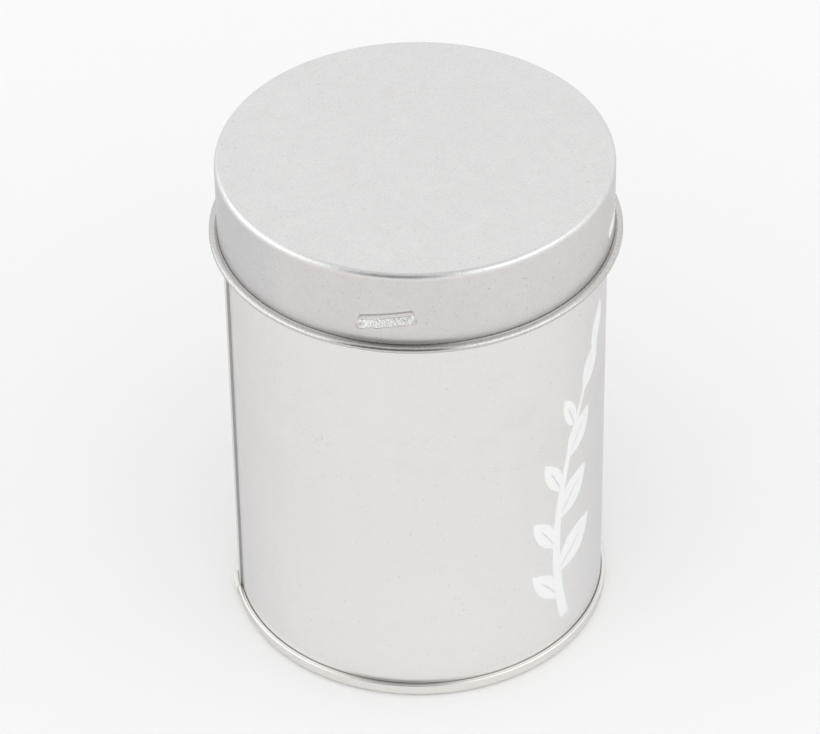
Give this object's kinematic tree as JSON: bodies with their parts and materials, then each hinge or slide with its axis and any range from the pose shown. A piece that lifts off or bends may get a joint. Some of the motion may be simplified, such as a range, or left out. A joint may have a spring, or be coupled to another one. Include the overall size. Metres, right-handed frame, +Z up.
{
  "type": "candle tin",
  "caption": "Tall round tinplate candle tin with a flat twist-lug lid, rolled edges and seamed foot, holding poured wax and a wick.",
  "frame": {"origin": "centre of the foot, on the plane that the tin stands on", "axes": "+Z up along the axis of the tin, towards the lid; -Y is the front, between the lock seam on the left and the printed motif on the right"},
  "size_m": [0.0688, 0.0688, 0.0913],
  "materials": {
    "lid_tinplate": "bright matte tinplate",
    "body_tinplate": "satin tinplate with a white printed leaf motif",
    "end_tinplate": "satin tinplate",
    "tab_tinplate": "bright tinplate",
    "liner_foam": "fine closed-cell foam",
    "sticker_foam": "white foam",
    "sealing_compound": "matte",
    "candle_wax": "soft waxy",
    "cotton_wick": "braided cotton, waxed"
  },
  "bodies": {
    "tin": {"tin_body": "body_tinplate", "bottom_end": "end_tinplate", "seam_compound": "sealing_compound", "wax_fill": "candle_wax", "wick": "cotton_wick", "wick_sustainer": "tab_tinplate", "wick_sticker": "sticker_foam"},
    "liner": {"lid_liner": "liner_foam"},
    "lid": {"lid_shell": "lid_tinplate"}
  },
  "joints": [
    {"name": "lid_lift", "type": "slide", "parent": "tin", "child": "liner", "axis": [0, 0, 1], "range_m": [0, 0.045]},
    {"name": "lid_twist", "type": "hinge", "parent": "liner", "child": "lid", "pos_m": [0, 0, 0.084], "axis": [0, 0, -1], "range_deg": [0, 22]}
  ]
}
